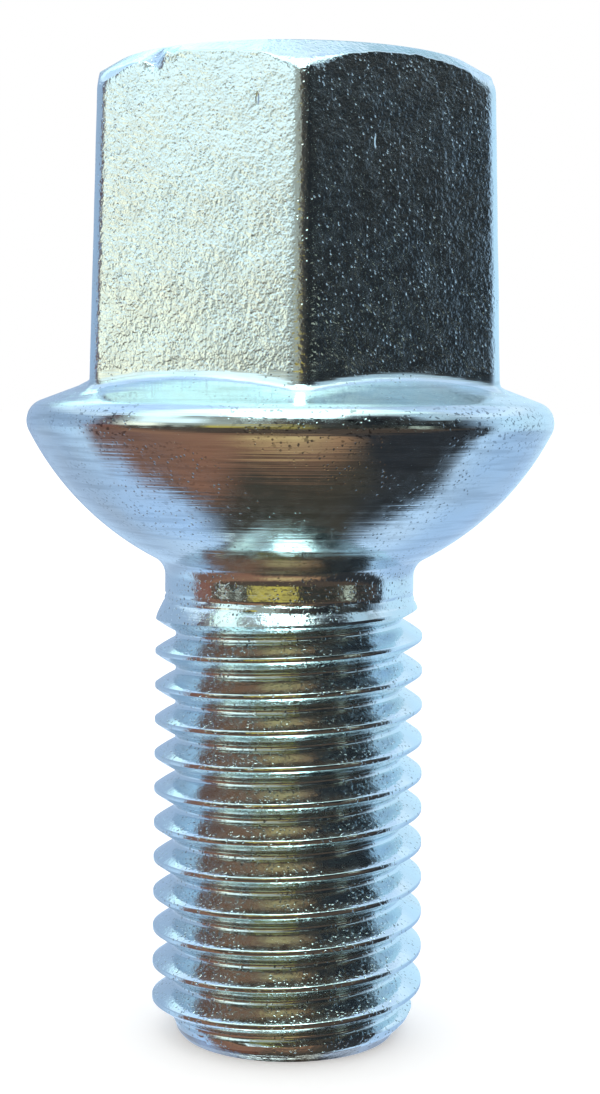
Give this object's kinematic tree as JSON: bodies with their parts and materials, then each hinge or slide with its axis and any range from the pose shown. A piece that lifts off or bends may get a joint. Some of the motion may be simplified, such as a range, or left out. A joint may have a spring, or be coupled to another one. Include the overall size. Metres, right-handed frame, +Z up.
{
  "type": "wheel bolt",
  "caption": "Plated steel wheel bolt with a hexagon head on a sloping flange, a ball seat under it, a plain neck and a fine right-hand thread with a chamfered end.",
  "frame": {"origin": "centre of the flat end face of the threaded shank, on which the bolt stands", "axes": "+Z up the bolt's axis to the top of the head, one corner of the hexagon towards -Y"},
  "size_m": [0.0232, 0.0232, 0.0423],
  "materials": {
    "zinc_plated_steel": "bright bluish zinc plate over forged, turned and rolled steel"
  },
  "bodies": {
    "root": {"wheel_bolt": "zinc_plated_steel"}
  },
  "joints": []
}
